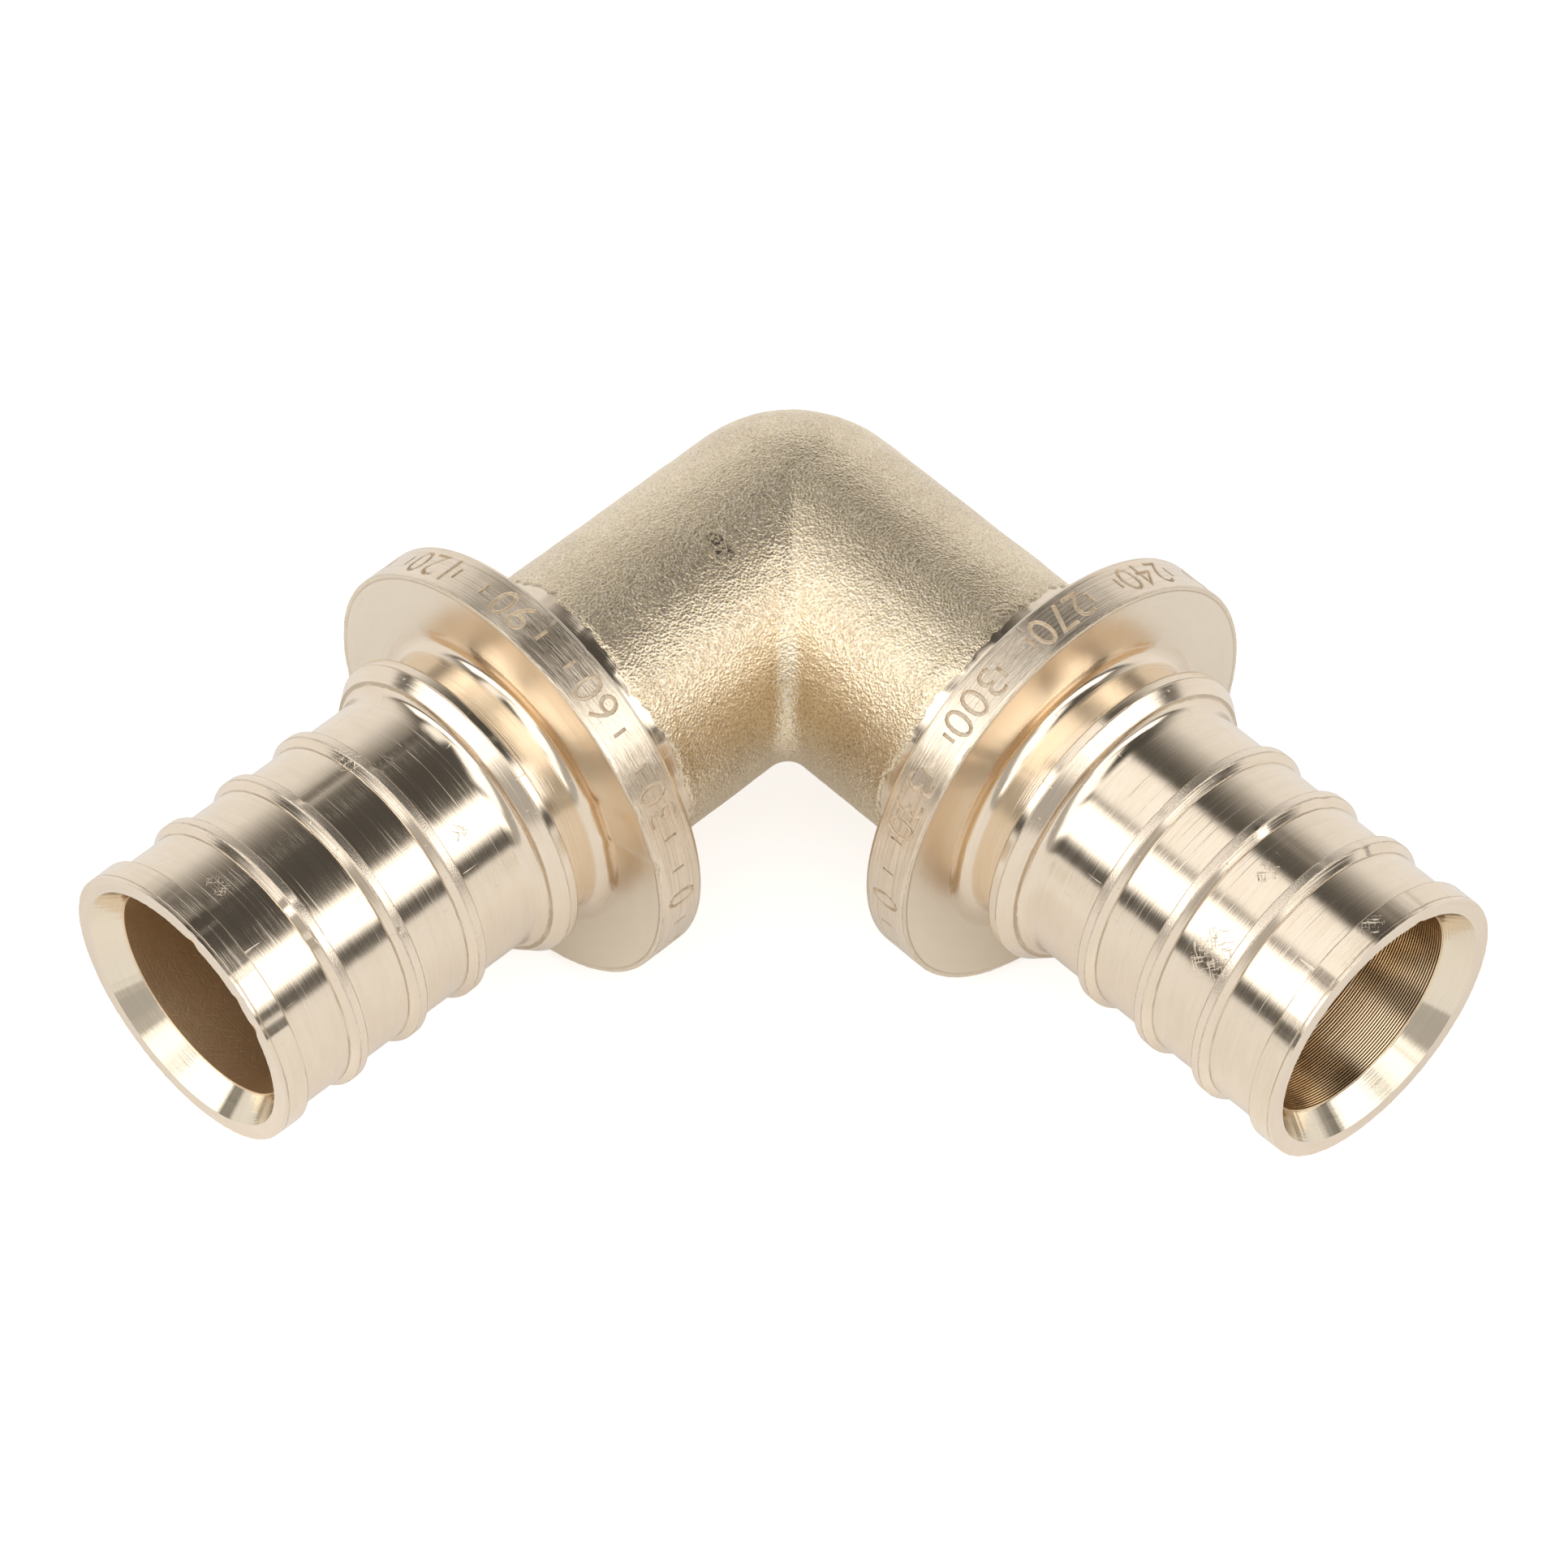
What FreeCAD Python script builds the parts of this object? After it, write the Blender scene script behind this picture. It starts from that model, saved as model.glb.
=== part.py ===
import FreeCAD, Part
import math
import os

# Elbow for plastic pipe with sliding sleeves: one hot-forged brass piece with two turned tails.
# Lengths are in millimetres. Along a tail they start where the two axes cross.
# While it is modelled the axes lie in the plane Z = 0, with the corner towards +Y.

# Forged corner
tail_angle = 90.0              # between the two tails, in degrees
body_radius = 11.15            # outside of the forged tubes and of the ball at the corner
crotch_radius = 1.8            # blend along the crease between the tubes
flange_back = 25.05            # from the crossing to the back of the flange

# Turned neck behind the flange
neck_length = 4.25
neck_radius = 11.0

# Flange that stops the pipe and its sleeve
flange_radius = 16.87
flange_thickness = 3.75

# Relief groove in front of the flange
groove_radius = 10.65
groove_length = 3.6
groove_corner = 1.2            # reach of the hollow corner at the foot of the flange face

# Collar
collar_radius = 12.1
collar_band = 0.75
collar_cone = 1.05             # length of its slope towards the teeth
collar_foot_radius = 11.3      # where the slope ends
collar_foot = 1.3              # length of the hollow that runs out into the land

# Saw teeth that hold the widened pipe
land_radius = 10.4
first_tooth = 11.35            # from the flange face
tooth_count = 3
tooth_pitch = 5.53
tooth_radius = 11.0
tooth_band = 0.7               # flat crest
tooth_slope = 0.55             # length of the slope on the open end's side

# End ring, mouth and bore
end_ring_radius = 10.98
end_ring_length = 2.1
mouth_radius = 9.7
mouth_length = 2.1             # cone that leads into the bore
bore_radius = 8.45
bore_overrun = 2.5             # how far the straight bore runs past the crossing
drill_point_angle = 118.0      # full angle of the cone that a drill leaves, in degrees
cut_margin = 1.0               # how far the bore's cutter stands out of the open end

flange_face = flange_back + flange_thickness
collar_back = flange_face + groove_length
cone_start = collar_back + collar_band
cone_end = cone_start + collar_cone
teeth_start = flange_face + first_tooth
end_ring_back = teeth_start + tooth_count * tooth_pitch
tail_end = end_ring_back + end_ring_length
drill_point_length = bore_radius / math.tan(math.radians(drill_point_angle / 2))
drill_tip = -bore_overrun - drill_point_length


def point(along, radius):
    """A point of a half section: its place along the tail and its distance from the axis."""
    return FreeCAD.Vector(radius, 0, along)


def lines(points):
    """Straight edges through the points."""
    return [Part.makeLine(a, b) for a, b in zip(points, points[1:])]


def hollow(start, corner, end):
    """A hollow curve that leaves start towards the corner and reaches end from there."""
    curve = Part.BezierCurve()
    curve.setPoles([start, corner, end])
    return [curve.toShape()]


def revolve(edges):
    """The solid that a closed half section sweeps about the tail's axis."""
    face = Part.Face(Part.Wire(edges))
    return face.revolve(FreeCAD.Vector(0, 0, 0), FreeCAD.Vector(0, 0, 1), 360)


def tooth(back):
    """A saw tooth: steep towards the flange, sloped towards the open end."""
    crest_end = back + tooth_band
    return [point(back, land_radius),
            point(back, tooth_radius),
            point(crest_end, tooth_radius),
            point(crest_end + tooth_slope, land_radius)]


def make_tail():
    """The turned outside of one tail, solid, standing on the crossing along +Z."""
    rim = [point(0, 0),
           point(0, neck_radius),
           point(flange_back, neck_radius),
           point(flange_back, flange_radius),
           point(flange_face, flange_radius),
           point(flange_face, groove_radius + groove_corner)]
    groove_foot = point(flange_face, groove_radius)
    collar = [point(flange_face + groove_corner, groove_radius),
              point(collar_back, groove_radius),
              point(collar_back, collar_radius),
              point(cone_start, collar_radius),
              point(cone_end, collar_foot_radius)]
    land_foot = point(cone_end, land_radius)
    teeth = [point(cone_end + collar_foot, land_radius)]
    for i in range(tooth_count):
        teeth += tooth(teeth_start + i * tooth_pitch)
    end_ring = [point(end_ring_back, land_radius),
                point(end_ring_back, end_ring_radius),
                point(tail_end, end_ring_radius),
                point(tail_end, 0),
                point(0, 0)]
    return revolve(lines(rim)
                   + hollow(rim[-1], groove_foot, collar[0])
                   + lines(collar)
                   + hollow(collar[-1], land_foot, teeth[0])
                   + lines(teeth + end_ring))


def make_bore():
    """The cutter of one bore, along +Z: drill point, straight bore and mouth cone."""
    return revolve(lines([point(drill_tip, 0),
                          point(-bore_overrun, bore_radius),
                          point(tail_end - mouth_length, bore_radius),
                          point(tail_end, mouth_radius),
                          point(tail_end + cut_margin, mouth_radius),
                          point(tail_end + cut_margin, 0),
                          point(drill_tip, 0)]))


def along_tails(shape):
    """Two copies of a shape that was made along +Z, turned to the left and right tail."""
    copies = []
    for side in (-1, 1):
        heading = math.radians(side * tail_angle / 2)
        direction = FreeCAD.Vector(math.sin(heading), -math.cos(heading), 0)
        turn = FreeCAD.Rotation(FreeCAD.Vector(0, 0, 1), direction)
        copy = shape.copy()
        copy.Placement = FreeCAD.Placement(FreeCAD.Vector(0, 0, 0), turn)
        copies.append(copy)
    return copies


def in_crease(edge):
    """True for the edges where the two tubes meet on the inner side of the corner."""
    box = edge.BoundBox
    return box.XLength < crotch_radius / 10 and box.YMin < -body_radius / 2


def make_corner():
    """The forged corner: two tubes and a ball, with a blend in the crease between the tubes."""
    tube = Part.makeCylinder(body_radius, flange_back - neck_length)
    ball = Part.makeSphere(body_radius)
    corner = ball.fuse(along_tails(tube)).removeSplitter().Solids[0]
    crease = [edge for edge in corner.Edges if in_crease(edge)]
    return corner.makeFillet(crotch_radius, crease)


def make_elbow():
    """The whole elbow, one solid, with the crossing of the axes at the origin."""
    outside = make_corner().fuse(along_tails(make_tail()))
    return outside.cut(along_tails(make_bore())).removeSplitter().Solids[0]


def stand(shape):
    """Moves the elbow so that the middle of its bounding box's underside is the origin."""
    box = shape.BoundBox
    shape.translate(FreeCAD.Vector(-box.Center.x, -box.Center.y, -box.ZMin))
    return shape


elbow = stand(make_elbow())
os.makedirs("parts", exist_ok=True)
elbow.exportStep("parts/elbow_body.step")
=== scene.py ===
import math

import bmesh
import bpy
import numpy as np
from mathutils import Matrix, Vector, geometry, noise


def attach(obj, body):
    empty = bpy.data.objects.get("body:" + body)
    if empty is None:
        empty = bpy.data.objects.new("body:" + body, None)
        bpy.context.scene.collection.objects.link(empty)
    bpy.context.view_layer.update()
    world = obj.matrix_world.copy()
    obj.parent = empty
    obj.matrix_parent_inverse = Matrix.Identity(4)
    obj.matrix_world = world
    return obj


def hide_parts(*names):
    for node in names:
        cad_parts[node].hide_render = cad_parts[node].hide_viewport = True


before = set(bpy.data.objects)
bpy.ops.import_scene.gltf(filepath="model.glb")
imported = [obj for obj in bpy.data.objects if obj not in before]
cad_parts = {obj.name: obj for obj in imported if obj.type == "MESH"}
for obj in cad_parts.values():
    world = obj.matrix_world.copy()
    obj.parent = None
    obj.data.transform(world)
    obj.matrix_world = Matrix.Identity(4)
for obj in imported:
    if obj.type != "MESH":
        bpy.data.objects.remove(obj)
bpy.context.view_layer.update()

# Sliding-sleeve pipe elbow: forged and shot-blasted corner, two turned tails, one piece of brass.
# Sizes of the part are in millimetres and become metres when a mesh is made. Along a tail they start
# where the two axes cross.
MM = 0.001
COS_45 = math.sqrt(0.5)         # the tails leave the corner 45 degrees either side of -Y

# Forged corner and bores
BODY_RADIUS = 11.15             # outside of the forged tubes and of the ball at the corner
CROTCH_RADIUS = 1.8             # hollow in the crease between the tubes
BORE_RADIUS = 8.45
BORE_OVERRUN = 2.5              # how far each bore runs past the crossing before the drill's point
DRILL_SLOPE = math.tan(math.radians(118.0 / 2))     # of the cone that the drill's point leaves

# Turned tail
NECK_LENGTH = 4.25
NECK_RADIUS = 11.0
FLANGE_BACK = 25.05
FLANGE_THICKNESS = 3.75
FLANGE_RADIUS = 16.87
GROOVE_LENGTH = 3.6
GROOVE_RADIUS = 10.65
GROOVE_CORNER = 1.2             # reach of the hollow corner at the foot of the flange face
COLLAR_BAND = 0.75
COLLAR_RADIUS = 12.1
COLLAR_CONE = 1.05              # length of its slope towards the teeth
COLLAR_FOOT_RADIUS = 11.3       # where the slope ends
COLLAR_FOOT = 1.3               # length of the hollow that runs out into the land
LAND_RADIUS = 10.4
FIRST_TOOTH = 11.35             # from the flange face
TOOTH_COUNT = 3
TOOTH_PITCH = 5.53
TOOTH_RADIUS = 11.0
TOOTH_BAND = 0.7                # flat crest
TOOTH_SLOPE = 0.55              # length of the slope on the open end's side
END_RING_LENGTH = 2.1
END_RING_RADIUS = 10.98
MOUTH_LENGTH = 2.1              # cone that leads into the bore
MOUTH_RADIUS = 9.7

NECK_START = FLANGE_BACK - NECK_LENGTH
FLANGE_FACE = FLANGE_BACK + FLANGE_THICKNESS
COLLAR_BACK = FLANGE_FACE + GROOVE_LENGTH
CONE_START = COLLAR_BACK + COLLAR_BAND
CONE_END = CONE_START + COLLAR_CONE
TEETH_START = FLANGE_FACE + FIRST_TOOTH
END_RING_BACK = TEETH_START + TOOTH_COUNT * TOOTH_PITCH
TAIL_END = END_RING_BACK + END_RING_LENGTH
MOUTH_START = TAIL_END - MOUTH_LENGTH

# The crossing of the axes, seen from the origin: the elbow stands on its flange rims, and its ball and
# the edges of its tail ends are equally far from the origin along Y.
CROSSING_BACK = round(((TAIL_END + END_RING_RADIUS) * COS_45 - BODY_RADIUS) / 2, 4)
CROSSING = np.array([0.0, CROSSING_BACK, FLANGE_RADIUS])
LEFT = np.array([-COS_45, -COS_45, 0.0])
RIGHT = np.array([COS_45, -COS_45, 0.0])
UP = np.array([0.0, 0.0, 1.0])

# Fineness of the mesh
FACETS = 256                    # round a tail
TUBE_RINGS = 44                 # along a forged tube
CORNER_RINGS = 20               # round the corner, between the tubes
BORE_RINGS = 6                  # along the straight part of a bore
HOLLOW_POINTS = 7               # along a hollow curve of the half section
BREAK_POINTS = 2                # across a broken edge
JOIN_DISTANCE = 0.02            # between points of the half section that become one
WELD_DISTANCE = 0.003           # the same for the finished mesh
NO_RADIUS = 1e-7                # in metres, of the circle that the half section is swept along
RIM_TOLERANCE = 1e-5            # between points of the flat rim
TINY = 1e-9
NO_LENGTH = 1e-30               # stands in for a length of nothing in a division
SQUARE = ((-1, -1), (1, -1), (1, 1), (-1, 1))           # corners, half a side from the middle

ANGLES = np.arange(FACETS) * 2 * math.pi / FACETS      # 0 faces the other tail, a quarter turn is up
TOWARDS = np.cos(ANGLES)
RISE = np.sin(ANGLES)

# Scale of plain numbers, in degrees, sunk into the rims of the flanges
RIM_START = FLANGE_BACK + 0.2   # the rim's cylinder, between its broken edges
RIM_END = FLANGE_FACE - 0.15
NUMBER_STEP = 30
NUMBER_HEIGHT = 2.5
NUMBER_DEPTH = 0.28
NUMBER_CURVE_STEPS = 3
TICK_WIDTH = 0.28
TICK_LENGTH = 1.1
BACK_INSETS = (0.0, 0.3, 0.6)   # lines of points along the rim's two edges, where its nicks lie
FACE_INSETS = (0.9, 0.6, 0.3, 0.0)

# Ragged border of the blasted skin on the neck, where the cut runs out unevenly
STRIP_START = NECK_START - 1.4  # the border stays between these two places
STRIP_END = NECK_START + 1.5
BEFORE_BORDER = 0.06            # the skin steps down to the turned neck from here
PAST_BORDER = 0.1               # to here, both seen from the border
BORDER_SWAY = (0.6, -0.3)       # sine and cosine parts of the wave that goes round twice
BORDER_WAVES = ((3, 0.12, 2.1), (5, 0.12, 4.0), (9, 0.10, 1.2), (17, 0.05, 5.1), (31, 0.06, 0.4),
                (47, 0.07, 2.2), (67, 0.05, 3.3))      # turns, size and start of the smaller waves
BORDER_SHIFT = 1.7              # between the smaller waves of the two tails, so that they differ

# Nicks of wear: side, place along the tail, degrees from the top towards the other tail, half length,
# half width round the tail, depth. Side is -1 for the left tail and 1 for the right.
NICKS = ((-1, 45.75, -7, 0.30, 0.45, 0.14), (-1, 52.0, 24, 0.40, 0.40, 0.12),
         (-1, 57.4, 10, 0.90, 0.30, 0.05), (-1, 46.4, 55, 0.35, 0.50, 0.12),
         (-1, 52.1, 39, 0.40, 0.35, 0.15), (-1, 51.2, 42, 0.25, 0.30, 0.10),
         (-1, 58.8, 56, 0.50, 0.50, 0.12), (-1, 40.2, 0, 0.30, 0.30, 0.10),
         (-1, 33.1, 21, 0.20, 0.50, 0.08), (-1, 58.8, 12, 0.30, 0.45, 0.10),
         (-1, 58.8, 42, 0.25, 0.40, 0.08), (-1, 28.7, 59, 0.25, 0.60, 0.12),
         (-1, 28.7, 76, 0.20, 0.45, 0.10), (-1, 9.0, 6, 0.35, 0.30, 0.10),
         (-1, 9.6, 9, 0.25, 0.25, 0.09), (-1, 9.0, 19, 0.20, 0.25, 0.07),
         (1, 10.1, 10, 0.22, 0.22, 0.06), (1, 46.5, -38, 0.40, 0.60, 0.12),
         (1, 46.4, 0, 0.40, 0.50, 0.12), (1, 52.0, -26, 0.35, 0.50, 0.12),
         (1, 51.4, -6, 0.25, 0.35, 0.08), (1, 58.8, -19, 0.25, 0.35, 0.08),
         (1, 40.3, 18, 0.25, 0.30, 0.09), (1, 28.7, 40, 0.20, 0.30, 0.07),
         (1, 25.1, 66, 0.20, 0.35, 0.07), (-1, 25.1, 20, 0.20, 0.25, 0.06))
NICK_REACH = 3                  # half lengths from its middle up to which a nick is pressed in

# Scuffed places on the turned metal and a sooty one on the skin, given as the nicks are, without depth
SCUFFS = ((1, 49.7, 48, 1.7, 2.3), (1, 49.0, 10, 0.9, 1.0), (1, 57.5, 2, 0.8, 1.2),
          (-1, 54.6, 0, 0.9, 1.1), (-1, 41.0, -10, 0.9, 1.2), (-1, 38.4, 40, 0.7, 0.9))
SOOT = (-1, 9.2, 11.0, 1.1, 1.9)

# Unevenness: depth and size of its lumps, one or more kinds
SKIN_LUMPS = ((0.035, 2.3), (0.02, 0.9))
SKIN_LUMPS_END = NECK_START - 0.8
EDGE_LUMPS = ((0.035, 0.35),)   # on the edges of the flange face and of the tail's end
FLANGE_EDGE = 0.3               # how far these edges reach
END_EDGE = 0.1
MARGIN = 0.01                   # keeps a place that lies on a limit to one side of it

# Behind the corner the forged skin is as near to a tail's axis as the bore's wall. These tell them apart.
NEAR_CORNER = 5.0
SKIN_THICKNESS = 0.8
BORE_MARGIN = 0.4
NECK_MARGIN = 0.03              # the same for the turned neck and the forged skin

# Places of the three finishes in the elbow's list of materials
FORGED, TURNED, BORED = 0, 1, 2

# Camera, in degrees and millimetres: it looks down on the elbow from the open side between its tails
CAMERA_ELEVATION = 51.461
CAMERA_AZIMUTH = -1.303
CAMERA_ROLL = -0.137
CAMERA_DISTANCE = 531.0
CAMERA_SIDEWAYS = -0.593
CAMERA_UPWARDS = -16.22
LENS = 167.2
SENSOR_WIDTH = 36.0
CLIP_START = 0.01               # in metres

# Floor
FLOOR_HALF_WIDTH = 6.0          # in metres
FLOOR_BRIGHTNESS = 0.88
FLOOR_LIFT = 0.6                # glow added where the camera sees the floor
FLOOR_LIFT_IN_METAL = 0.1       # glow added where the metal mirrors it

# Light panels of the studio: azimuth and elevation of the middle, half width, half height, softness of
# the edge, brightness. Azimuth 0 is behind the elbow and 90 is to its right.
PANELS = ((-104.0, 37.0, 0.62, 0.25, 0.09, 2.0),
          (104.0, 37.0, 0.55, 0.24, 0.09, 2.0),
          (-55.0, 65.0, 0.34, 0.18, 0.08, 1.2),
          (180.0, 62.0, 0.55, 0.42, 0.14, 1.7))
PANEL_HORIZON = 0.05            # a panel shows only in front of its own plane, past this cosine


def find(sockets, name):
    """The socket at a place, or the one in use that has a name or identifier."""
    if isinstance(name, int):
        return sockets[name]
    return next(s for s in sockets if s.enabled and name in (s.name, s.identifier))


def maths(operation, *values):
    """The result of a maths node; one of the values at least is a socket."""
    tree = next(v for v in values if isinstance(v, Socket)).tree
    return tree.add("ShaderNodeMath", {"operation": operation}, values)[0]


class Socket:
    """An output in a node tree. Sums and products of sockets are written as plain expressions."""

    def __init__(self, tree, socket):
        self.tree = tree
        self.socket = socket

    def __add__(self, other):
        return maths("ADD", self, other)

    def __radd__(self, other):
        return maths("ADD", other, self)

    def __sub__(self, other):
        return maths("SUBTRACT", self, other)

    def __rsub__(self, other):
        return maths("SUBTRACT", other, self)

    def __mul__(self, other):
        return maths("MULTIPLY", self, other)

    def __rmul__(self, other):
        return maths("MULTIPLY", other, self)

    def __truediv__(self, other):
        return maths("DIVIDE", self, other)

    def __pow__(self, other):
        return maths("POWER", self, other)

    def __abs__(self):
        return maths("ABSOLUTE", self)

    def step(self, low, high, start=0.0, end=1.0):
        """Goes smoothly from start to end while this value goes from low to high."""
        limits = {"Value": self, "From Min": low, "From Max": high, "To Min": start, "To Max": end}
        return self.tree.add("ShaderNodeMapRange", {"interpolation_type": "SMOOTHSTEP"}, limits)[0]


class Outputs:
    """The outputs of one node, by place, name or identifier."""

    def __init__(self, tree, node):
        self.tree = tree
        self.node = node

    def __getitem__(self, name):
        return Socket(self.tree, find(self.node.outputs, name))


class Tree:
    """A node tree of a material, the world or Geometry Nodes, and short ways to fill it."""

    def __init__(self, tree):
        self.tree = tree

    def add(self, kind, settings=None, inputs=()):
        """Adds a node, makes its settings, fills its inputs by place or name, and returns its outputs."""
        node = self.tree.nodes.new(kind)
        for name, value in (settings or {}).items():
            setattr(node, name, value)
        for name, value in inputs.items() if isinstance(inputs, dict) else enumerate(inputs):
            target = find(node.inputs, name)
            for one in value if isinstance(value, list) else [value]:
                if isinstance(one, Socket):
                    self.tree.links.new(one.socket, target)
                else:
                    target.default_value = one
        return Outputs(self, node)

    def blend(self, factor, colour_a, colour_b):
        """Mixes two colours; each may be a socket or three numbers."""
        whole = [c if isinstance(c, Socket) else (*c, 1.0) for c in (colour_a, colour_b)]
        return self.add("ShaderNodeMix", {"data_type": "RGBA"},
                        {"Factor_Float": factor, "A_Color": whole[0], "B_Color": whole[1]})["Result_Color"]

    def paint(self, colour, layers):
        """Lays other colours over a colour; a layer is how much of it shows and its colour."""
        for factor, over in layers:
            colour = self.blend(factor, colour, over)
        return colour

    def vector(self, x, y, z):
        return self.add("ShaderNodeCombineXYZ", None, [x, y, z])[0]

    def noise(self, vector, scale, detail=2.0, roughness=0.5, w=None):
        """Noise between 0 and 1; with w it has four dimensions."""
        inputs = {"Vector": vector, "Scale": scale, "Detail": detail, "Roughness": roughness}
        if w is not None:
            inputs["W"] = w
        dimensions = "3D" if w is None else "4D"
        return self.add("ShaderNodeTexNoise", {"noise_dimensions": dimensions}, inputs)["Fac"]

    def cells(self, vector, scale):
        """The distance to the nearest of many scattered points."""
        inputs = {"Vector": vector, "Scale": scale}
        return self.add("ShaderNodeTexVoronoi", {"feature": "F1"}, inputs)["Distance"]


def empty_tree(holder):
    """The node tree of a material or of the world, emptied."""
    holder.use_nodes = True
    holder.node_tree.nodes.clear()
    return Tree(holder.node_tree)


def add_object(name, data):
    """A new object of the scene, at the origin."""
    piece = bpy.data.objects.new(name, data)
    bpy.context.scene.collection.objects.link(piece)
    return piece


def placement(x_axis, y_axis, z_axis, place):
    """The matrix that turns the axes to three directions and moves the origin to a place."""
    return Matrix([[x_axis[i], y_axis[i], z_axis[i], place[i]] for i in range(3)] + [[0, 0, 0, 1]])


def on_line(start, end, count):
    """Evenly spaced numbers from start to end, both included."""
    return [start + (end - start) * i / (count - 1) for i in range(count)]


def hollow(start, corner, end, edge_break=0.0):
    """Points of a hollow curve between two points of a half section; only its first point may be broken."""
    points = []
    for t in on_line(0.0, 1.0, HOLLOW_POINTS):
        along = (1 - t) ** 2 * start[0] + 2 * t * (1 - t) * corner[0] + t * t * end[0]
        radius = (1 - t) ** 2 * start[1] + 2 * t * (1 - t) * corner[1] + t * t * end[1]
        points.append((along, radius, 0.0 if points else edge_break))
    return points


def tail_runs():
    """Half section of a tail without its teeth and its rim, from the neck to the inside of the bore.

    A point is its place along the tail, its radius, and how far the edge there is broken.
    """
    back = [(STRIP_END, NECK_RADIUS, 0.0),
            (FLANGE_BACK, NECK_RADIUS, 0.4),
            (FLANGE_BACK, FLANGE_RADIUS, 0.12),
            (RIM_START, FLANGE_RADIUS, 0.0)]
    front = [(RIM_END, FLANGE_RADIUS, 0.0),
             (FLANGE_FACE, FLANGE_RADIUS, 0.07)]
    front += hollow((FLANGE_FACE, GROOVE_RADIUS + GROOVE_CORNER), (FLANGE_FACE, GROOVE_RADIUS),
                    (FLANGE_FACE + GROOVE_CORNER, GROOVE_RADIUS))
    front += [(COLLAR_BACK, GROOVE_RADIUS, 0.1),
              (COLLAR_BACK, COLLAR_RADIUS, 0.07),
              (CONE_START, COLLAR_RADIUS, 0.05)]
    front += hollow((CONE_END, COLLAR_FOOT_RADIUS), (CONE_END, LAND_RADIUS),
                    (CONE_END + COLLAR_FOOT, LAND_RADIUS), 0.05)
    front += [(TEETH_START, LAND_RADIUS, 0.08)]
    end = [(END_RING_BACK, LAND_RADIUS, 0.08),
           (END_RING_BACK, END_RING_RADIUS, 0.05),
           (TAIL_END, END_RING_RADIUS, 0.06),
           (TAIL_END, MOUTH_RADIUS, 0.04),
           (MOUTH_START, BORE_RADIUS, 0.06),
           (STRIP_END, BORE_RADIUS, 0.0)]
    return [back, front, end]


def tooth_run():
    """Half section of one saw tooth and of the land that leads to the next one."""
    return [(0.0, LAND_RADIUS, 0.08),
            (0.0, TOOTH_RADIUS, 0.05),
            (TOOTH_BAND, TOOTH_RADIUS, 0.05),
            (TOOTH_BAND + TOOTH_SLOPE, LAND_RADIUS, 0.12),
            (TOOTH_PITCH, LAND_RADIUS, 0.08)]


def outline_piece(name, runs):
    """Half sections as edges: radius on X, place along the tail on Y, and how far each edge is broken."""
    places, edges, breaks = [], [], []
    for run in runs:
        first = len(places)
        places += [(radius * MM, along * MM, 0.0) for along, radius, _ in run]
        breaks += [edge_break * MM for _, _, edge_break in run]
        edges += [(first + i, first + i + 1) for i in range(len(run) - 1)]
    mesh = bpy.data.meshes.new(name)
    mesh.from_pydata(places, edges, [])
    mesh.attributes.new("edge_break", "FLOAT", "POINT").data.foreach_set("value", breaks)
    return add_object(name, mesh)


def turning_tree(tooth):
    """Geometry Nodes that repeat the tooth, join it to the half section and turn that round the axis."""
    group = bpy.data.node_groups.new("turned_tail", "GeometryNodeTree")
    face = group.interface
    sizes = (("Half Section", "NodeSocketGeometry"), ("Tooth Count", "NodeSocketInt"),
             ("Tooth Pitch", "NodeSocketFloat"), ("First Tooth", "NodeSocketFloat"),
             ("Facets", "NodeSocketInt"), ("Metal", "NodeSocketMaterial"))
    for name, kind in sizes:
        face.new_socket(name, in_out="INPUT", socket_type=kind)
    face.new_socket("Tail", in_out="OUTPUT", socket_type="NodeSocketGeometry")
    tree = Tree(group)
    given = tree.add("NodeGroupInput")
    row = tree.add("GeometryNodeMeshLine", {"mode": "OFFSET"},
                   {"Count": given["Tooth Count"],
                    "Start Location": tree.vector(0.0, given["First Tooth"], 0.0),
                    "Offset": tree.vector(0.0, given["Tooth Pitch"], 0.0)})[0]
    one = tree.add("GeometryNodeObjectInfo", None, {"Object": tooth})["Geometry"]
    teeth = tree.add("GeometryNodeInstanceOnPoints", None, {"Points": row, "Instance": one})[0]
    teeth = tree.add("GeometryNodeRealizeInstances", None, {"Geometry": teeth})[0]
    section = tree.add("GeometryNodeJoinGeometry", None, {"Geometry": [given["Half Section"], teeth]})[0]
    section = tree.add("GeometryNodeMergeByDistance", None,
                       {"Geometry": section, "Distance": JOIN_DISTANCE * MM})[0]
    section = tree.add("GeometryNodeMeshToCurve", None, {"Mesh": section})[0]
    edge_break = tree.add("GeometryNodeInputNamedAttribute", {"data_type": "FLOAT"},
                          {"Name": "edge_break"})[0]
    section = tree.add("GeometryNodeFilletCurve", {"mode": "POLY"},
                       {"Curve": section, "Radius": edge_break, "Count": BREAK_POINTS})[0]
    way = tree.add("GeometryNodeCurvePrimitiveCircle", {"mode": "RADIUS"},
                   {"Resolution": given["Facets"], "Radius": NO_RADIUS})["Curve"]
    skin = tree.add("GeometryNodeCurveToMesh", None, {"Curve": way, "Profile Curve": section})[0]
    skin = tree.add("GeometryNodeRealizeInstances", None, {"Geometry": skin})[0]
    skin = tree.add("GeometryNodeSetMaterial", None, {"Geometry": skin, "Material": given["Metal"]})[0]
    tree.add("NodeGroupOutput", None, [skin])
    return group


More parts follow.
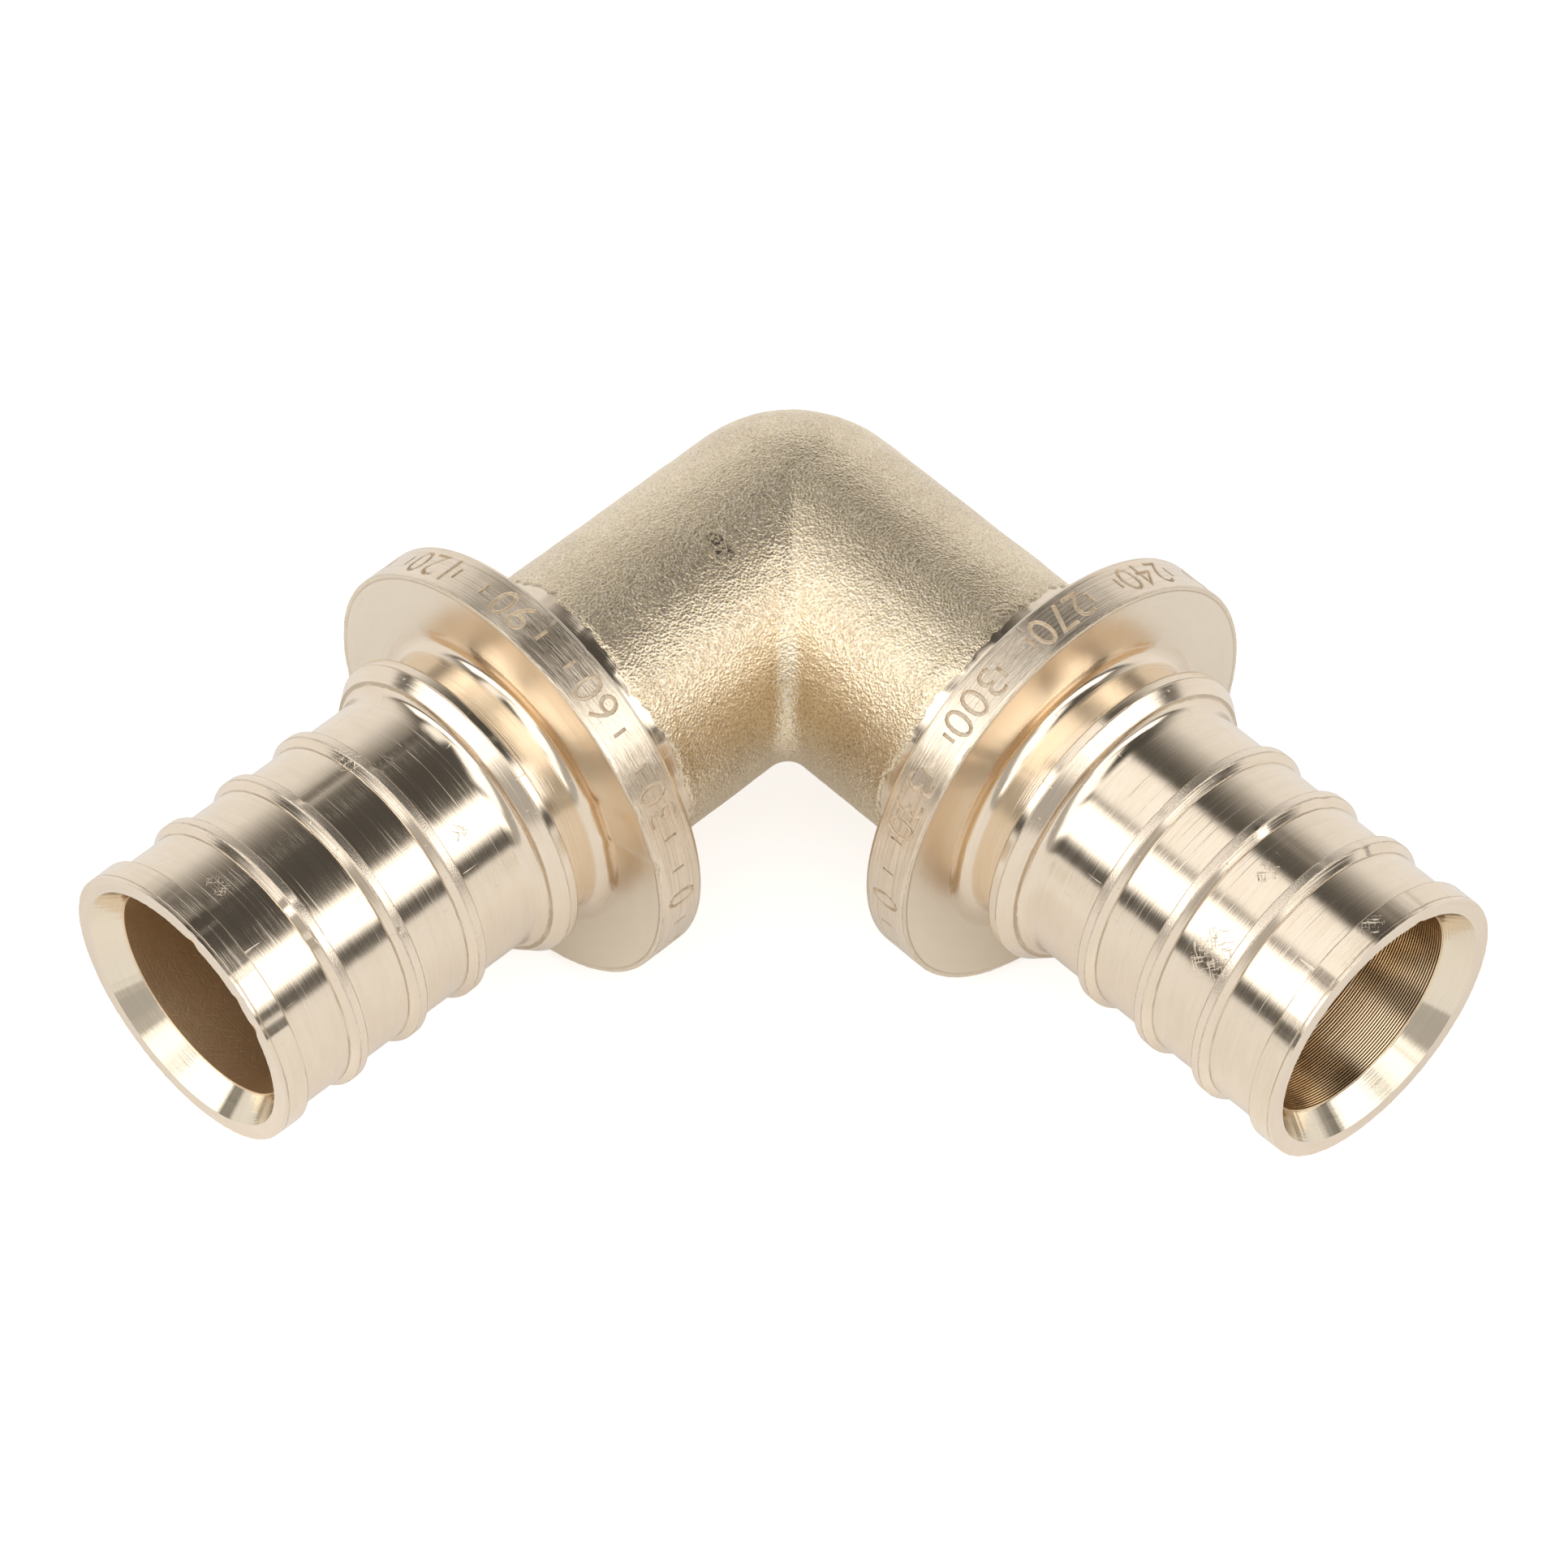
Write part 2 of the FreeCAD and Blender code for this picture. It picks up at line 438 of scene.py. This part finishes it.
def turned_tail(metal):
    """The skin of one tail as a plain mesh, hanging down from the crossing along -Z."""
    tooth = outline_piece("tooth_section", [tooth_run()])
    blank = outline_piece("tail_section", tail_runs())
    group = turning_tree(tooth)
    turning = blank.modifiers.new("turning", "NODES")
    turning.node_group = group
    given = {"Tooth Count": TOOTH_COUNT, "Tooth Pitch": TOOTH_PITCH * MM, "First Tooth": TEETH_START * MM,
             "Facets": FACETS, "Metal": metal}
    for item in group.interface.items_tree:
        if item.name in given:
            turning[item.identifier] = given[item.name]
    done = blank.evaluated_get(bpy.context.evaluated_depsgraph_get())
    skin = bpy.data.meshes.new_from_object(done)
    bpy.data.objects.remove(blank)
    bpy.data.objects.remove(tooth)
    return skin


def tail_directions(side):
    """The direction of a tail and of the other one; side is -1 for the left tail and 1 for the right."""
    return (LEFT, RIGHT) if side < 0 else (RIGHT, LEFT)


def tail_matrix(side):
    """Turns and moves a skin that hangs along -Z to its tail."""
    tail, other = tail_directions(side)
    return placement(other, np.cross(-tail, other), -tail, CROSSING * MM)


def ring(side, along, radius):
    """Points round a tail; along and radius may differ from point to point."""
    tail, other = tail_directions(side)
    along = np.broadcast_to(along, ANGLES.shape)
    radius = np.broadcast_to(radius, ANGLES.shape)
    return (CROSSING + along[:, None] * tail
            + (radius * TOWARDS)[:, None] * other + (radius * RISE)[:, None] * UP)


def ragged(side):
    """Where the forged skin ends on the neck, round the tail."""
    wave = BORDER_SWAY[0] * np.sin(2 * ANGLES) + BORDER_SWAY[1] * np.cos(2 * ANGLES)
    for turns, size, start in BORDER_WAVES:
        wave += size * np.sin(turns * ANGLES + start + BORDER_SHIFT * side)
    return NECK_START + wave


def tube_rows(side):
    """Rings of one forged tube from its neck to where the corner begins."""
    end = (BODY_RADIUS + CROTCH_RADIUS) * np.maximum(TOWARDS, 0.0)
    border = ragged(side)
    rows = [ring(side, STRIP_END, NECK_RADIUS), ring(side, border + PAST_BORDER, NECK_RADIUS)]
    for t in on_line(0.0, 1.0, TUBE_RINGS):
        rows.append(ring(side, (border - BEFORE_BORDER) * (1 - t) + end * t, BODY_RADIUS))
    return rows


def corner_rows():
    """Rings round the corner between the two tubes: a ball outside, a rolled hollow in the crease."""
    reach = BODY_RADIUS + CROTCH_RADIUS
    centre = CROSSING + (reach * TOWARDS)[:, None] * (LEFT + RIGHT) + (reach * RISE)[:, None] * UP
    from_left = TOWARDS[:, None] * RIGHT + RISE[:, None] * UP
    from_right = TOWARDS[:, None] * LEFT + RISE[:, None] * UP
    in_crease = (TOWARDS > TINY)[:, None]
    rows = []
    for t in on_line(0.0, 1.0, CORNER_RINGS + 2)[1:-1]:
        way = (1 - t) * from_left + t * from_right
        way /= np.linalg.norm(way, axis=1)[:, None]
        crease = centre - CROTCH_RADIUS * way
        quarter = t * math.pi / 2
        level = RIGHT * math.cos(quarter) + LEFT * math.sin(quarter)
        ball = CROSSING + BODY_RADIUS * (TOWARDS[:, None] * level + RISE[:, None] * UP)
        rows.append(np.where(in_crease, crease, ball))
    return rows


def bore_rows(side):
    """Rings of one bore from inside its neck to the plane between the tails, with its drill point."""
    straight_end = np.maximum(BORE_RADIUS * TOWARDS, -BORE_OVERRUN)
    rows = [ring(side, STRIP_END * (1 - t) + straight_end * t, BORE_RADIUS)
            for t in on_line(0.0, 1.0, BORE_RINGS)]
    beyond = np.maximum(-TOWARDS, 0.0)
    cone_radius = (BORE_RADIUS + DRILL_SLOPE * BORE_OVERRUN) / (1 + DRILL_SLOPE * beyond)
    end_radius = np.minimum(cone_radius, BORE_RADIUS)
    for t in (0.5, 1.0):
        radius = BORE_RADIUS * (1 - t) + end_radius * t
        rows.append(ring(side, straight_end - (BORE_RADIUS - radius) / DRILL_SLOPE, radius))
    return rows


def add_rows(metal, rows):
    """Adds a skin of quads through rings of points to a mesh that is being made."""
    made = [[metal.verts.new(Vector(p) * MM) for p in row] for row in rows]
    for near, far in zip(made, made[1:]):
        for i in range(FACETS):
            j = (i + 1) % FACETS
            metal.faces.new((near[i], near[j], far[j], far[i]))


def number_shape(number):
    """Flat corners and faces of a number of the stated height, with its middle at the origin."""
    writing = bpy.data.curves.new("number", "FONT")
    writing.body = str(number)
    writing.resolution_u = NUMBER_CURVE_STEPS
    holder = add_object("number", writing)
    shape = bpy.data.meshes.new_from_object(holder.evaluated_get(bpy.context.evaluated_depsgraph_get()))
    corners = np.array([v.co[:2] for v in shape.vertices])
    low, high = corners.min(axis=0), corners.max(axis=0)
    corners = (corners - (low + high) / 2) * NUMBER_HEIGHT / (high[1] - low[1])
    faces = [list(face.vertices) if face.normal.z > 0 else list(face.vertices)[::-1]
             for face in shape.polygons if face.area > TINY]
    bpy.data.objects.remove(holder)
    bpy.data.meshes.remove(shape)
    return corners, faces


def flat_rim():
    """The rim laid flat, round it on X and across it on Y: corners, triangles, and which are sunk."""
    places, shapes = [], []
    for degrees in range(0, 360, NUMBER_STEP):
        middle = np.array([math.radians(degrees) * FLANGE_RADIUS, (RIM_START + RIM_END) / 2])
        corners, faces = number_shape(degrees)
        shapes += [[len(places) + i for i in face] for face in faces]
        places += [tuple(p) for p in corners + middle]
        for third in (-1, 1):
            tick = middle + np.array([math.radians(third * NUMBER_STEP / 3) * FLANGE_RADIUS, 0.0])
            shapes.append([len(places) + i for i in range(4)])
            places += [tuple(tick + np.array([x * TICK_WIDTH, y * TICK_LENGTH]) / 2) for x, y in SQUARE]
    # The strip is cut about half a step before the first number, clear of every number and tick.
    cut = round(FACETS * NUMBER_STEP / 2 / 360)
    for i in range(FACETS + 1):
        around = (i - cut) * 2 * math.pi / FACETS * FLANGE_RADIUS
        places += [(around, RIM_START + inset) for inset in BACK_INSETS]
        places += [(around, RIM_END - inset) for inset in FACE_INSETS]
    points = [Vector(p) for p in places]
    corners, _, faces, _, _, covers = geometry.delaunay_2d_cdt(points, [], shapes, 0, RIM_TOLERANCE)
    return corners, faces, [bool(c) for c in covers]


def add_rim(metal, side, corners, faces, covered):
    """Bends the flat rim round a flange, with the numbers sunk into it and upright walls round them."""
    tail, other = tail_directions(side)
    levels = []
    for radius in (FLANGE_RADIUS, FLANGE_RADIUS - NUMBER_DEPTH):
        level = []
        for around, along in corners:
            angle = -side * around / FLANGE_RADIUS
            place = CROSSING + along * tail + radius * (math.cos(angle) * other + math.sin(angle) * UP)
            level.append(metal.verts.new(Vector(place) * MM))
        levels.append(level)
    levels_at = {}
    for face, sunk in zip(faces, covered):
        metal.faces.new([levels[sunk][i] for i in face])
        for a, b in zip(face, face[1:] + face[:1]):
            levels_at.setdefault(tuple(sorted((a, b))), set()).add(sunk)
    for (a, b), both in levels_at.items():
        if len(both) == 2:
            metal.faces.new([levels[0][a], levels[0][b], levels[1][b], levels[1][a]])
    unused = [v for level in levels for v in level if not v.link_faces]
    bmesh.ops.delete(metal, geom=unused, context="VERTS")


def behind_corner(along, radius):
    """True on the forged skin behind the corner; works for one place or for many."""
    return (along < NEAR_CORNER) & (np.hypot(along, radius) > BODY_RADIUS - SKIN_THICKNESS)


def uneven(place, lumps):
    """How far the skin sinks at a place, for stated depths and sizes of its lumps."""
    return sum(depth * (1 + noise.noise(place / (size * MM))) for depth, size in lumps)


def wear_and_lumps(metal):
    """Presses in the nicks and makes the forged skin and two edges uneven. Nothing moves outwards."""
    metal.normal_update()
    for vertex in metal.verts:
        x, y, z = (vertex.co[i] / MM - CROSSING[i] for i in range(3))
        side = 1 if x > 0 else -1
        along = (abs(x) - y) * COS_45
        across = -(abs(x) + y) * COS_45
        radius = math.hypot(across, z)
        if radius < BORE_RADIUS + BORE_MARGIN and not behind_corner(along, radius):
            continue
        on_flange_edge = radius > FLANGE_RADIUS - FLANGE_EDGE and along > RIM_END + MARGIN
        on_end_edge = along > TAIL_END - END_EDGE
        depth = 0.0
        if along < SKIN_LUMPS_END:
            depth = uneven(vertex.co, SKIN_LUMPS)
        elif on_flange_edge or on_end_edge:
            depth = uneven(vertex.co, EDGE_LUMPS)
        for its_side, place, turn, length, width, deep in NICKS:
            if its_side == side and abs(along - place) < NICK_REACH * length:
                round_it = (math.degrees(math.atan2(across, z)) - turn) * math.pi / 180 * radius
                depth += deep * math.exp(-((along - place) / length) ** 2 - (round_it / width) ** 2)
        vertex.co -= vertex.normal * depth * MM


def read(items, name, kind=np.float64, width=1):
    """One value, or a few, of every face or corner of a mesh."""
    values = np.zeros(len(items) * width, dtype=kind)
    items.foreach_get(name, values)
    return values.reshape(-1, width) if width > 1 else values


def places_on_tail(mesh):
    """Where the middle of each face lies: along its tail and out from the axis, in millimetres."""
    middles = read(mesh.polygons, "center", width=3) / MM - CROSSING
    outwards = abs(middles[:, 0])
    along = COS_45 * (outwards - middles[:, 1])
    return along, np.hypot(COS_45 * (outwards + middles[:, 1]), middles[:, 2])


def keep_flats_flat(mesh):
    """Shades each corner with the normals round it weighted by area; the walls of the numbers stay crisp."""
    along, radius = places_on_tail(mesh)
    half_way_down = abs(radius - FLANGE_RADIUS + NUMBER_DEPTH / 2) < NUMBER_DEPTH / 4
    wall = (along > RIM_START) & (along < RIM_END) & half_way_down
    corner_vertex = read(mesh.loops, "vertex_index", np.int64)
    face_of = np.repeat(np.arange(len(mesh.polygons)), read(mesh.polygons, "loop_total", np.int64))
    face_normal = read(mesh.polygons, "normal", width=3)
    face_area = read(mesh.polygons, "area")
    face_area[wall] = 0.0
    weight = (face_normal * face_area[:, None])[face_of]
    total = np.zeros((len(mesh.vertices), 3))
    np.add.at(total, corner_vertex, weight)
    total /= np.maximum(np.linalg.norm(total, axis=1), NO_LENGTH)[:, None]
    normals = np.where(wall[face_of][:, None], face_normal[face_of], total[corner_vertex])
    mesh.normals_split_custom_set(normals.tolist())


def give_finishes(mesh):
    """Gives each face the finish of its place: forged skin, turned outside or bore."""
    along, radius = places_on_tail(mesh)
    slots = np.where(along < STRIP_END, FORGED, TURNED)
    slots[(along > STRIP_START) & (radius < NECK_RADIUS + NECK_MARGIN)] = TURNED
    inside = (radius < MOUTH_RADIUS) & (along < TAIL_END - MARGIN)
    slots[inside & ~behind_corner(along, radius)] = BORED
    mesh.polygons.foreach_set("material_index", slots.astype(np.int32))


def elbow_piece(finishes):
    """The whole elbow as one closed mesh."""
    metal = bmesh.new()
    skin = turned_tail(finishes[TURNED])
    for side in (-1, 1):
        placed = skin.copy()
        placed.transform(tail_matrix(side))
        metal.from_mesh(placed)
        bpy.data.meshes.remove(placed)
    bpy.data.meshes.remove(skin)
    add_rows(metal, tube_rows(-1) + corner_rows() + tube_rows(1)[::-1])
    add_rows(metal, bore_rows(-1) + bore_rows(1)[-2::-1])
    rim = flat_rim()
    for side in (-1, 1):
        add_rim(metal, side, *rim)
    bmesh.ops.remove_doubles(metal, verts=metal.verts, dist=WELD_DISTANCE * MM)
    bmesh.ops.recalc_face_normals(metal, faces=metal.faces)
    wear_and_lumps(metal)
    for face in metal.faces:
        face.smooth = True
    mesh = bpy.data.meshes.new("elbow")
    metal.to_mesh(mesh)
    metal.free()
    keep_flats_flat(mesh)
    for finish in finishes:
        mesh.materials.append(finish)
    give_finishes(mesh)
    return add_object("elbow", mesh)


class TailPlace:
    """Where a point lies on its tail, in millimetres and degrees, for the materials."""

    def __init__(self, tree):
        place = tree.add("ShaderNodeTexCoord")["Object"]
        x, y, z = (tree.add("ShaderNodeSeparateXYZ", None, [place])[i] for i in range(3))
        outwards = abs(x) * (1 / MM)
        back = y * (1 / MM) - float(CROSSING[1])
        self.side = maths("SIGN", x)
        self.along = (outwards - back) * COS_45
        self.across = (outwards + back) * -COS_45       # towards the other tail
        self.up = z * (1 / MM) - float(CROSSING[2])
        self.radius = (self.across ** 2.0 + self.up ** 2.0) ** 0.5
        self.angle = maths("ARCTAN2", self.across, self.up) * (180 / math.pi)      # from the top


def metal_shader(name, build):
    """A brass material; build gives its colour, roughness and height in millimetres."""
    material = bpy.data.materials.new(name)
    tree = empty_tree(material)
    colour, roughness, height = build(tree)
    relief = tree.add("ShaderNodeBump", None, {"Strength": 1.0, "Distance": MM, "Height": height})[0]
    brass = tree.add("ShaderNodeBsdfPrincipled", None,
                     {"Base Color": colour, "Metallic": 1.0, "Roughness": roughness, "Normal": relief})[0]
    tree.add("ShaderNodeOutputMaterial", None, [brass])
    return material


def spot(tail, side, place, degrees, length, width):
    """1 in the middle of a place on a tail, 0 outside it; length and width as in SCUFFS."""
    by_length = (tail.along - place) * (1 / length)
    by_width = (tail.angle - degrees) * tail.radius * (math.pi / 180 / width)
    apart = by_length ** 2.0 + by_width ** 2.0
    return apart.step(0.3, 1.0, 1.0, 0.0) * (tail.side * side).step(-0.5, 0.5)


def turning_lines(tree, tail, fine, coarse, detail, roughness, shift):
    """Noise that is fine along the tail and out from its axis, and coarse round it."""
    place = tree.vector(tail.across * coarse + tail.side * shift, tail.up * coarse, tail.along * fine)
    return tree.noise(place, 1.0, detail, roughness, tail.radius * fine)


def crossed_scratches(tree, tail):
    """Short thin scratches that cross each other at right angles, slanted to the tail's axis."""
    turn = tail.angle * tail.radius * (math.pi / 180)
    ways = []
    for one, other in ((4.5, 0.5), (0.5, 4.5)):
        place = tree.vector((turn + tail.along) * one, (turn - tail.along) * other, tail.side)
        ways.append(tree.noise(place, 1.0, 3.0, 0.7))
    return maths("MAXIMUM", *ways)


def seam_lines(tree, tail, place):
    """Thin lines that waver a little where turned faces meet: on the teeth, the collar and the tail's end."""
    waver = (tree.noise(place, 1.7, 2.0, 0.6) - 0.5) * 0.08
    teeth_and_ring = (tail.along.step(TEETH_START - 0.15, TEETH_START - 0.05)
                      * tail.along.step(END_RING_BACK + 0.26, END_RING_BACK + 0.36, 1.0, 0.0))
    past_tooth = maths("FLOORED_MODULO", tail.along - (TEETH_START - TOOTH_PITCH), TOOTH_PITCH)
    seams = 0.0
    for edge in (0.02, TOOTH_BAND, TOOTH_BAND + TOOTH_SLOPE):
        seams = abs(past_tooth + waver - edge).step(0.03, 0.07, 1.0, 0.0) * teeth_and_ring + seams
    for edge in (COLLAR_BACK + 0.08, CONE_START, CONE_END, TAIL_END - 0.35):
        seams = abs(tail.along + waver - edge).step(0.03, 0.07, 1.0, 0.0) + seams
    return seams


def turned_look(tree):
    """Bright turned brass: fine lines round the tail, pale hairlines, dark seams, and a few rubbed places."""
    tail = TailPlace(tree)
    place = tree.vector(tail.across, tail.up, tail.along)
    lines = turning_lines(tree, tail, 8.0, 0.10, 4.0, 0.65, 7.0)
    hairs = turning_lines(tree, tail, 11.0, 0.06, 1.0, 0.5, 3.0).step(0.62, 0.76)
    bands = tree.vector(tail.across * 0.3, tail.up * 0.3, tail.along * 1.3 + tail.side * 11.0)
    wide = tree.noise(bands, 1.0, 2.0, 0.5, tail.radius * 1.3)
    wobble = tree.noise(place, 0.45, 1.0, 0.5)
    grit = tree.noise(place, 9.0, 2.0, 0.6)
    scrapes = tree.vector(tail.across * 2.6, tail.up * 2.6, tail.along * 0.22)
    scrapes = tree.noise(scrapes, 1.0, 2.0, 0.6).step(0.70, 0.76)

    rim = (tail.radius.step(FLANGE_RADIUS - 0.47, FLANGE_RADIUS - 0.27)
           * tail.along.step(FLANGE_BACK + 0.15, FLANGE_BACK + 0.25))
    sunk = rim * (1 - tail.radius.step(FLANGE_RADIUS - 0.08, FLANGE_RADIUS - 0.02))
    disc = tail.radius.step(COLLAR_RADIUS + 0.05, COLLAR_RADIUS + 0.3) * (1 - rim)
    teeth = (tail.along.step(TEETH_START - 0.15, TEETH_START - 0.05)
             * tail.along.step(END_RING_BACK - 0.74, END_RING_BACK - 0.64, 1.0, 0.0))
    crests = (tail.radius.step(TOOTH_RADIUS - 0.1, TOOTH_RADIUS - 0.05)
              * (1 - tail.radius.step(TOOTH_RADIUS + 0.05, TOOTH_RADIUS + 0.2)) * teeth)
    seams = seam_lines(tree, tail, place) * (0.4 + 0.6 * wide.step(0.35, 0.60))
    scuffs = 0.0
    for mark in SCUFFS:
        scuffs = spot(tail, *mark) + scuffs
    scuffs = scuffs * crossed_scratches(tree, tail).step(0.57, 0.70)

    colour = tree.blend(wide, (0.82, 0.685, 0.52), (0.92, 0.795, 0.65))
    colour = tree.paint(colour, (
        (hairs * 0.35, (0.95, 0.86, 0.73)),
        (lines.step(0.52, 0.28) * (0.13 + 0.5 * rim), (0.52, 0.43, 0.31)),
        # painted light: the flange face is painted paler to lift the dark reflections in it
        (disc * 0.5, (0.93, 0.84, 0.69)),
        (seams * 0.55, (0.40, 0.28, 0.16)),
        (scuffs * 0.5, (0.97, 0.88, 0.74)),
        (crests * grit.step(0.40, 0.60) * 0.5, (0.93, 0.82, 0.70)),
        (sunk * grit.step(0.35, 0.6), (0.98, 0.89, 0.75))))
    roughness = (0.07 + 0.10 * lines + 0.04 * wide + 0.12 * hairs + 0.12 * crests + 0.1 * scrapes
                 + 0.30 * sunk + 0.07 * rim + 0.16 * disc + 0.15 * seams)
    height = (lines * 0.009 + hairs * 0.003 + wobble * 0.012 + rim * lines * 0.045
              + crests * grit * 0.014 + sunk * grit * 0.12 - scrapes * 0.006
              - scuffs * 0.04 - seams * 0.02)
    return colour, roughness, height


def blasted_look(tree):
    """Forged and shot-blasted brass: small hollows with painted highlights on their edges, stains, specks and
    one sooty spot.
    """
    place = tree.add("ShaderNodeTexCoord")["Object"]
    dents_and_glints = tree.cells(place, 5000.0)
    pits = tree.cells(place, 2300.0)
    grain = tree.noise(place, 5200.0, 3.0, 0.7)
    lumps = tree.noise(place, 1100.0, 2.0, 0.5)
    stains = tree.noise(place, 130.0, 2.0, 0.5)
    soot = spot(TailPlace(tree), *SOOT) * tree.noise(place, 1700.0, 4.0, 0.8).step(0.52, 0.57)
    specks = tree.noise(place, 2600.0, 1.0, 0.5).step(0.73, 0.78) * stains.step(0.50, 0.62)
    colour = tree.blend(lumps, (0.84, 0.69, 0.45), (0.94, 0.79, 0.56))
    colour = tree.paint(colour, (
        (stains.step(0.42, 0.62) * 0.35, (0.62, 0.48, 0.31)),
        # painted highlights: pale colour on the edges of the dents stands in for glints; the same cells also
        # give real bumps
        (dents_and_glints.step(0.30, 0.80) * 0.6, (0.99, 0.89, 0.74)),
        (grain.step(0.54, 0.36) * 0.5, (0.34, 0.245, 0.15)),
        (specks * 0.8, (0.20, 0.14, 0.08)),
        (soot, (0.17, 0.14, 0.10))))
    roughness = 0.22 + 0.12 * grain + 0.05 * lumps
    height = dents_and_glints * 0.042 + pits * 0.026 + grain * 0.03 + soot * 0.06
    return colour, roughness, height


def bore_look(tree):
    """The bores: a browner wall with boring grooves on the right and crossed scratches on the left."""
    tail = TailPlace(tree)
    lines = turning_lines(tree, tail, 7.0, 0.12, 3.0, 0.6, 0.0)
    feed = maths("PINGPONG", tail.along, 0.1)
    right = tail.side.step(-0.5, 0.5)
    wall = tail.radius.step(BORE_RADIUS + 0.02, BORE_RADIUS + 0.1, 1.0, 0.0)
    scratched = crossed_scratches(tree, tail).step(0.50, 0.70) * wall * (1 - right)
    colour = tree.blend(lines, (0.80, 0.685, 0.52), (0.90, 0.80, 0.65))
    colour = tree.paint(colour, (
        (wall * 0.8, (0.86, 0.64, 0.40)),
        (scratched * 0.3, (0.98, 0.86, 0.66)),
        (feed.step(0.05, 0.10) * right * wall * 0.4, (0.42, 0.28, 0.15))))
    roughness = 0.10 + 0.10 * lines + wall * (0.03 + 0.22 * (1 - right))
    height = lines * 0.010 + feed * right * wall * 0.36 - scratched * 0.004
    return colour, roughness, height


def floor_piece():
    """A pale floor under the elbow, lifted to white for the camera, that keeps the shadow."""
    mesh = bpy.data.meshes.new("floor")
    corners = [(x * FLOOR_HALF_WIDTH, y * FLOOR_HALF_WIDTH, 0) for x, y in SQUARE]
    mesh.from_pydata(corners, [], [(0, 1, 2, 3)])
    floor = add_object("floor", mesh)
    material = bpy.data.materials.new("pale_floor")
    tree = empty_tree(material)
    rays = tree.add("ShaderNodeLightPath")
    mirrored = rays["Is Glossy Ray"] + rays["Is Transmission Ray"]
    lift = rays["Is Camera Ray"] * FLOOR_LIFT + mirrored * FLOOR_LIFT_IN_METAL
    colour = (FLOOR_BRIGHTNESS, FLOOR_BRIGHTNESS, FLOOR_BRIGHTNESS, 1.0)
    surface = tree.add("ShaderNodeBsdfDiffuse", None, {"Color": colour})[0]
    glow = tree.add("ShaderNodeEmission", None, {"Color": (1.0, 1.0, 1.0, 1.0), "Strength": lift})[0]
    both = tree.add("ShaderNodeAddShader", None, [surface, glow])[0]
    tree.add("ShaderNodeOutputMaterial", None, [both])
    mesh.materials.append(material)


def studio_light():
    """The world: a pale horizon that darkens upwards, and soft panels of light."""
    world = bpy.data.worlds.new("studio")
    bpy.context.scene.world = world
    tree = empty_tree(world)
    way = tree.add("ShaderNodeTexCoord")["Generated"]
    y, z = (tree.add("ShaderNodeSeparateXYZ", None, [way])[i] for i in (1, 2))
    behind = y.step(0.2, 0.8)
    before = y.step(-0.3, -0.8)
    low = z.step(0.10, 0.16, 1.0, 0.0)
    sweep = z.step(0.25, 0.85, 0.88, 0.10)
    light = low * 0.9 + (1 - low) * (behind * sweep + (1 - behind) * (0.08 + 0.4 * before))
    for azimuth, elevation, width, height, soft, brightness in PANELS:
        a, e = math.radians(azimuth), math.radians(elevation)
        middle = Vector((math.sin(a) * math.cos(e), math.cos(a) * math.cos(e), math.sin(e)))
        sideways = Vector((math.cos(a), -math.sin(a), 0.0))
        upwards = sideways.cross(middle)
        dots = [tree.add("ShaderNodeVectorMath", {"operation": "DOT_PRODUCT"}, [way, tuple(v)])["Value"]
                for v in (middle, sideways, upwards)]
        ahead = maths("MAXIMUM", dots[0], PANEL_HORIZON)
        inside = (abs(dots[1] / ahead).step(width - soft, width + soft, 1.0, 0.0)
                  * abs(dots[2] / ahead).step(height - soft, height + soft, 1.0, 0.0)
                  * dots[0].step(PANEL_HORIZON, 3 * PANEL_HORIZON))
        light = light * (1 - inside) + inside * brightness
    tint = tree.blend(light.step(0.0, 0.9), (1.0, 0.96, 0.90), (1.0, 1.0, 1.0))
    shade = tree.add("ShaderNodeBackground", None, {"Color": tint, "Strength": light})[0]
    tree.add("ShaderNodeOutputWorld", None, [shade])


def camera():
    """The camera, placed from where the axes cross."""
    elevation, azimuth, roll = (math.radians(v) for v in (CAMERA_ELEVATION, CAMERA_AZIMUTH, CAMERA_ROLL))
    back = Vector((-math.sin(azimuth) * math.cos(elevation), -math.cos(azimuth) * math.cos(elevation),
                   math.sin(elevation)))
    level = Vector((math.cos(azimuth), -math.sin(azimuth), 0.0))
    upright = back.cross(level)
    right = math.cos(roll) * level + math.sin(roll) * upright
    up = -math.sin(roll) * level + math.cos(roll) * upright
    place = Vector(CROSSING) + back * CAMERA_DISTANCE + right * CAMERA_SIDEWAYS + up * CAMERA_UPWARDS
    eye = bpy.data.cameras.new("camera")
    eye.lens = LENS
    eye.sensor_width = SENSOR_WIDTH
    eye.clip_start = CLIP_START
    seat = add_object("camera", eye)
    seat.matrix_world = placement(right, up, back, place * MM)
    bpy.context.scene.camera = seat


bpy.context.scene.view_settings.view_transform = "Standard"
camera()
studio_light()
floor_piece()
elbow = elbow_piece([metal_shader("forged_skin", blasted_look),
                     metal_shader("turned_brass", turned_look),
                     metal_shader("bore_brass", bore_look)])
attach(elbow, "root")
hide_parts("elbow_body")
